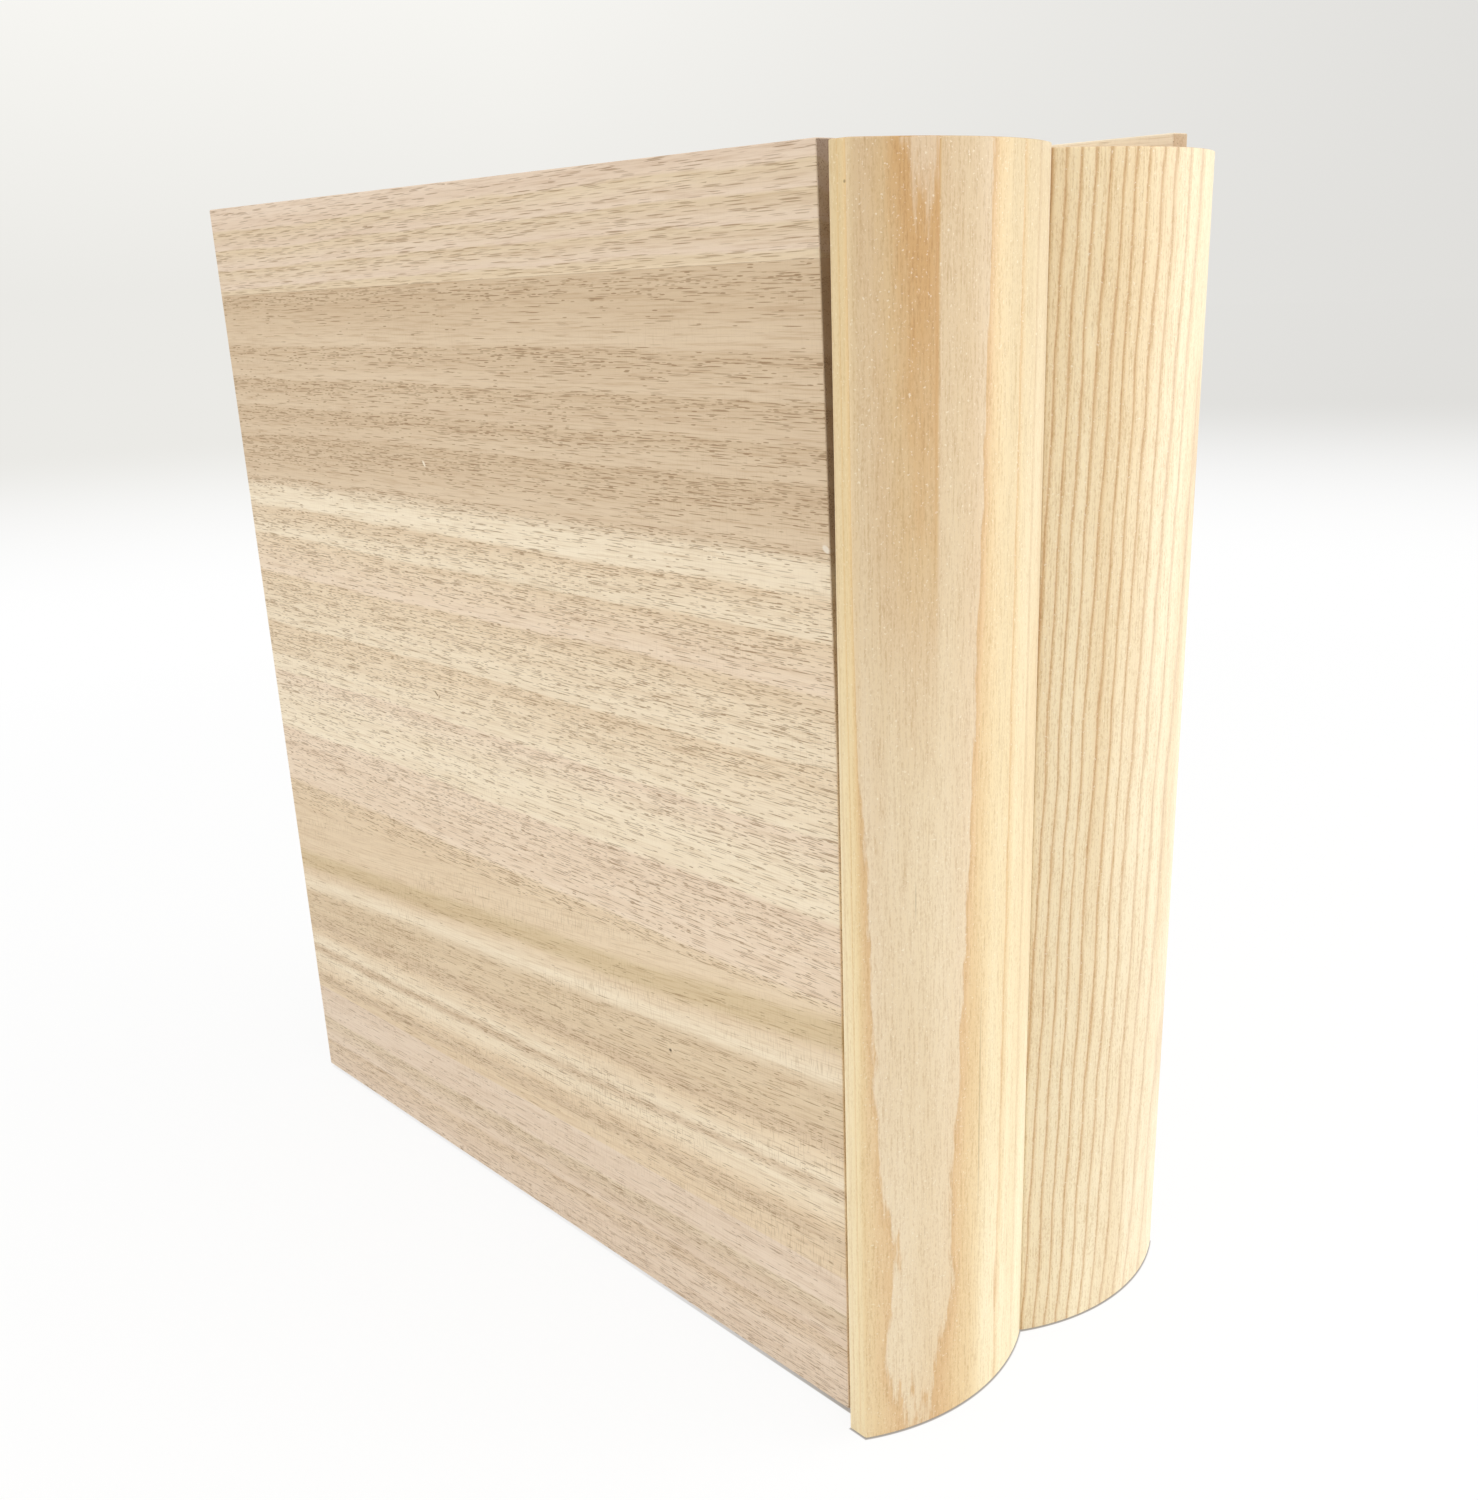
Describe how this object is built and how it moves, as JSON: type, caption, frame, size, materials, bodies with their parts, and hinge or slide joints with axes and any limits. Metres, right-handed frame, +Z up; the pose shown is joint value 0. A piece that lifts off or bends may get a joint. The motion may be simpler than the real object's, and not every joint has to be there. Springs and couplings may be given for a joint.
{
  "type": "compartment box",
  "caption": "Wooden box shaped like books standing side by side: a thin cover swings open on hidden hinges onto small compartments behind half-round spines.",
  "frame": {"origin": "on the table, under the middle of the box's bounding box", "axes": "+Z up, -Y towards the half-round spines, +Y towards the fore edge, -X towards the hinged lid"},
  "size_m": [0.0886, 0.2116, 0.2194],
  "materials": {
    "spine_pine": "planed, unfinished",
    "cover_paulownia": "sanded, unfinished",
    "wall_pine": "sanded, unfinished",
    "divider_paulownia": "sanded, unfinished",
    "hinge_brass": "satin",
    "fastener_brass": "satin",
    "magnet_nickel": "bright nickel plate"
  },
  "bodies": {
    "box": {"left_spine_moulding": "spine_pine", "right_spine_moulding": "spine_pine", "back_cover_tail_stave": "cover_paulownia", "back_cover_middle_stave": "cover_paulownia", "back_cover_head_stave": "cover_paulownia", "spine_wall": "wall_pine", "fore_edge_wall": "wall_pine", "tail_wall": "wall_pine", "head_wall": "wall_pine", "upright_divider": "divider_paulownia", "shelf_divider_1": "divider_paulownia", "shelf_divider_2": "divider_paulownia", "lower_hinge_frame_leaf": "hinge_brass", "upper_hinge_frame_leaf": "hinge_brass", "lower_hinge_pin": "hinge_brass", "upper_hinge_pin": "hinge_brass", "lower_hinge_screw_1": "fastener_brass", "lower_hinge_screw_2": "fastener_brass", "upper_hinge_screw_1": "fastener_brass", "upper_hinge_screw_2": "fastener_brass", "frame_magnet": "magnet_nickel"},
    "lid": {"lid_tail_stave": "cover_paulownia", "lid_lower_stave": "cover_paulownia", "lid_wide_stave": "cover_paulownia", "lid_head_stave": "cover_paulownia", "lower_hinge_lid_leaf": "hinge_brass", "upper_hinge_lid_leaf": "hinge_brass", "lower_hinge_nail_1": "fastener_brass", "lower_hinge_nail_2": "fastener_brass", "upper_hinge_nail_1": "fastener_brass", "upper_hinge_nail_2": "fastener_brass", "lid_magnet": "magnet_nickel"}
  },
  "joints": [
    {"name": "lid_hinge", "type": "hinge", "parent": "box", "child": "lid", "pos_m": [-0.0379, -0.09202, 0.10875], "axis": [0, 0, 1], "range_deg": [0, 90]}
  ]
}
